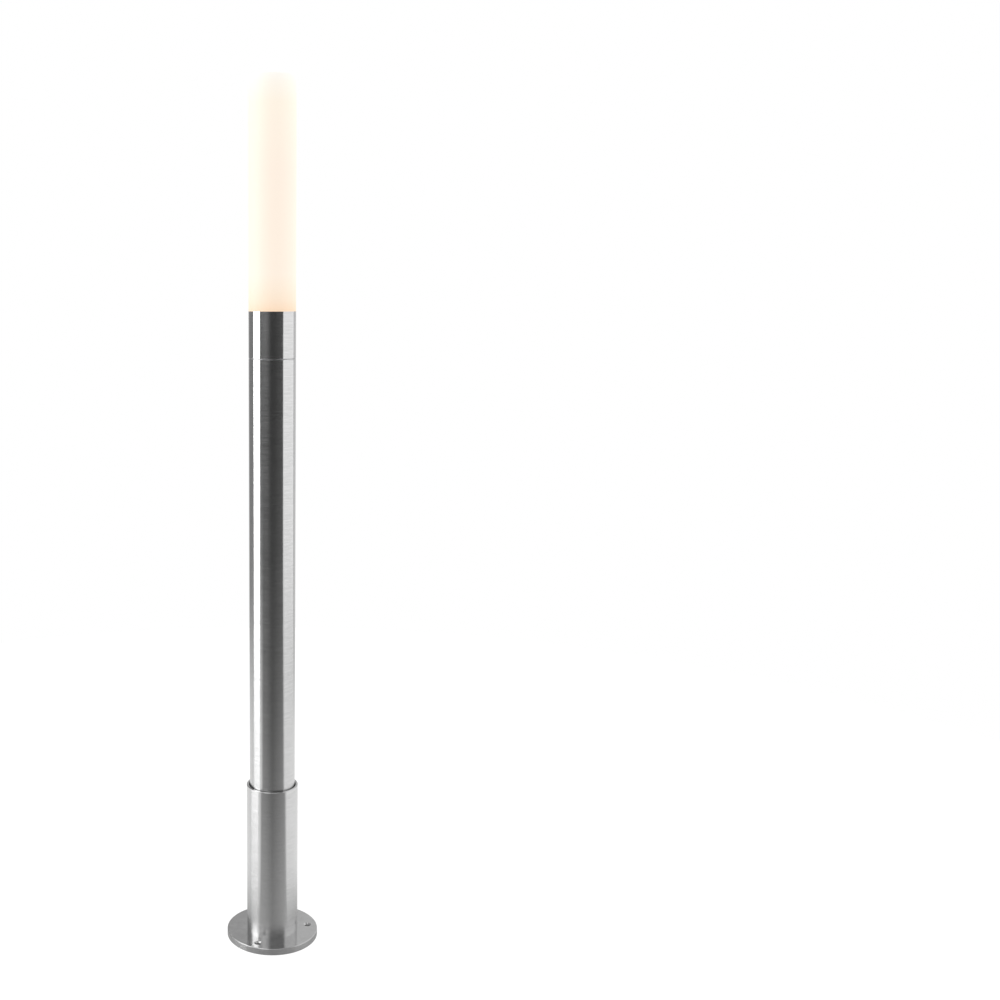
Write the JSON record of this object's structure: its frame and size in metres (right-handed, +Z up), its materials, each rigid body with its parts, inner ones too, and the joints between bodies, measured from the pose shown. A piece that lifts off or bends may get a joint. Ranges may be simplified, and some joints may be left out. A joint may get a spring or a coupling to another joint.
{
  "type": "bollard light",
  "caption": "Slim round bollard light: a satin stainless pole standing in a flanged base sleeve, with a lift-off head whose tall lit opal diffuser covers a screw-in lamp.",
  "frame": {"origin": "centre of the base flange's underside, where the light stands on the ground", "axes": "+Z up along the pole, -Y the front, +Y the back, which every set screw faces, +X to the right seen from the front"},
  "size_m": [0.122, 0.122, 1.1244],
  "materials": {
    "stainless_steel": "fine satin, ground round the tube",
    "opal_acrylic": "opal, lit from inside",
    "screw_steel": "machined",
    "zinc_steel": "zinc plated",
    "black_rubber": "matt",
    "guide_plastic": "moulded",
    "gland_plastic": "moulded",
    "terminal_plastic": "moulded",
    "brass": "drawn",
    "tinned_copper": "tinned",
    "cable_sheath": "extruded",
    "live_insulation": "extruded",
    "neutral_insulation": "extruded",
    "earth_insulation": "extruded",
    "cast_aluminium": "die cast",
    "porcelain": "glazed",
    "nickel_brass": "nickel plated",
    "black_glass": "vitrite",
    "lamp_housing": "moulded",
    "frosted_glass": "frosted",
    "circuit_board": "white lacquered",
    "led_phosphor": "silicone"
  },
  "bodies": {
    "base": {"base_flange": "stainless_steel", "base_sleeve": "stainless_steel", "sleeve_set_screws": "screw_steel", "guide_ring_upper": "guide_plastic", "guide_ring_lower": "guide_plastic"},
    "pole": {"pole_tube": "stainless_steel", "wiring_plate": "guide_plastic", "plate_set_screw": "screw_steel", "gland_body": "gland_plastic", "gland_seal": "black_rubber", "gland_nut": "gland_plastic", "gland_locknut": "gland_plastic", "terminal_bracket": "zinc_steel", "bracket_screw": "screw_steel", "terminal_block": "terminal_plastic", "terminal_clamps": "brass", "terminal_screws": "zinc_steel", "block_screws": "screw_steel", "earth_stud": "brass", "earth_tag": "tinned_copper", "earth_nut": "brass", "inner_cable": "cable_sheath", "live_core_lower": "live_insulation", "earth_core_lower": "earth_insulation", "neutral_core_lower": "neutral_insulation", "live_core_upper": "live_insulation", "neutral_core_upper": "neutral_insulation", "earth_core_upper": "earth_insulation", "earth_wire": "earth_insulation", "lamp_carrier": "cast_aluminium", "carrier_o_rings": "black_rubber", "carrier_set_screw": "screw_steel", "carrier_earth_screw": "brass", "holder_body": "porcelain", "holder_screws": "screw_steel", "holder_shell": "brass", "holder_contact": "brass"},
    "lamp": {"lamp_contact": "tinned_copper", "lamp_insulator": "black_glass", "lamp_cap": "nickel_brass", "lamp_skirt": "lamp_housing", "lamp_envelope": "frosted_glass", "led_column": "circuit_board", "led_chips": "led_phosphor"},
    "head": {"collar_ring": "stainless_steel", "collar_set_screw": "screw_steel", "diffuser": "opal_acrylic", "coupling_ring": "opal_acrylic", "coupling_o_ring": "black_rubber"}
  },
  "joints": [
    {"name": "pole_lift", "type": "slide", "parent": "base", "child": "pole", "axis": [0, 0, 1], "range_m": [0, 0.215]},
    {"name": "lamp_unscrew", "type": "slide", "parent": "pole", "child": "lamp", "axis": [0, 0, 1], "range_m": [0, 0.03]},
    {"name": "head_lift", "type": "slide", "parent": "pole", "child": "head", "axis": [0, 0, 1], "range_m": [0, 0.245]}
  ]
}
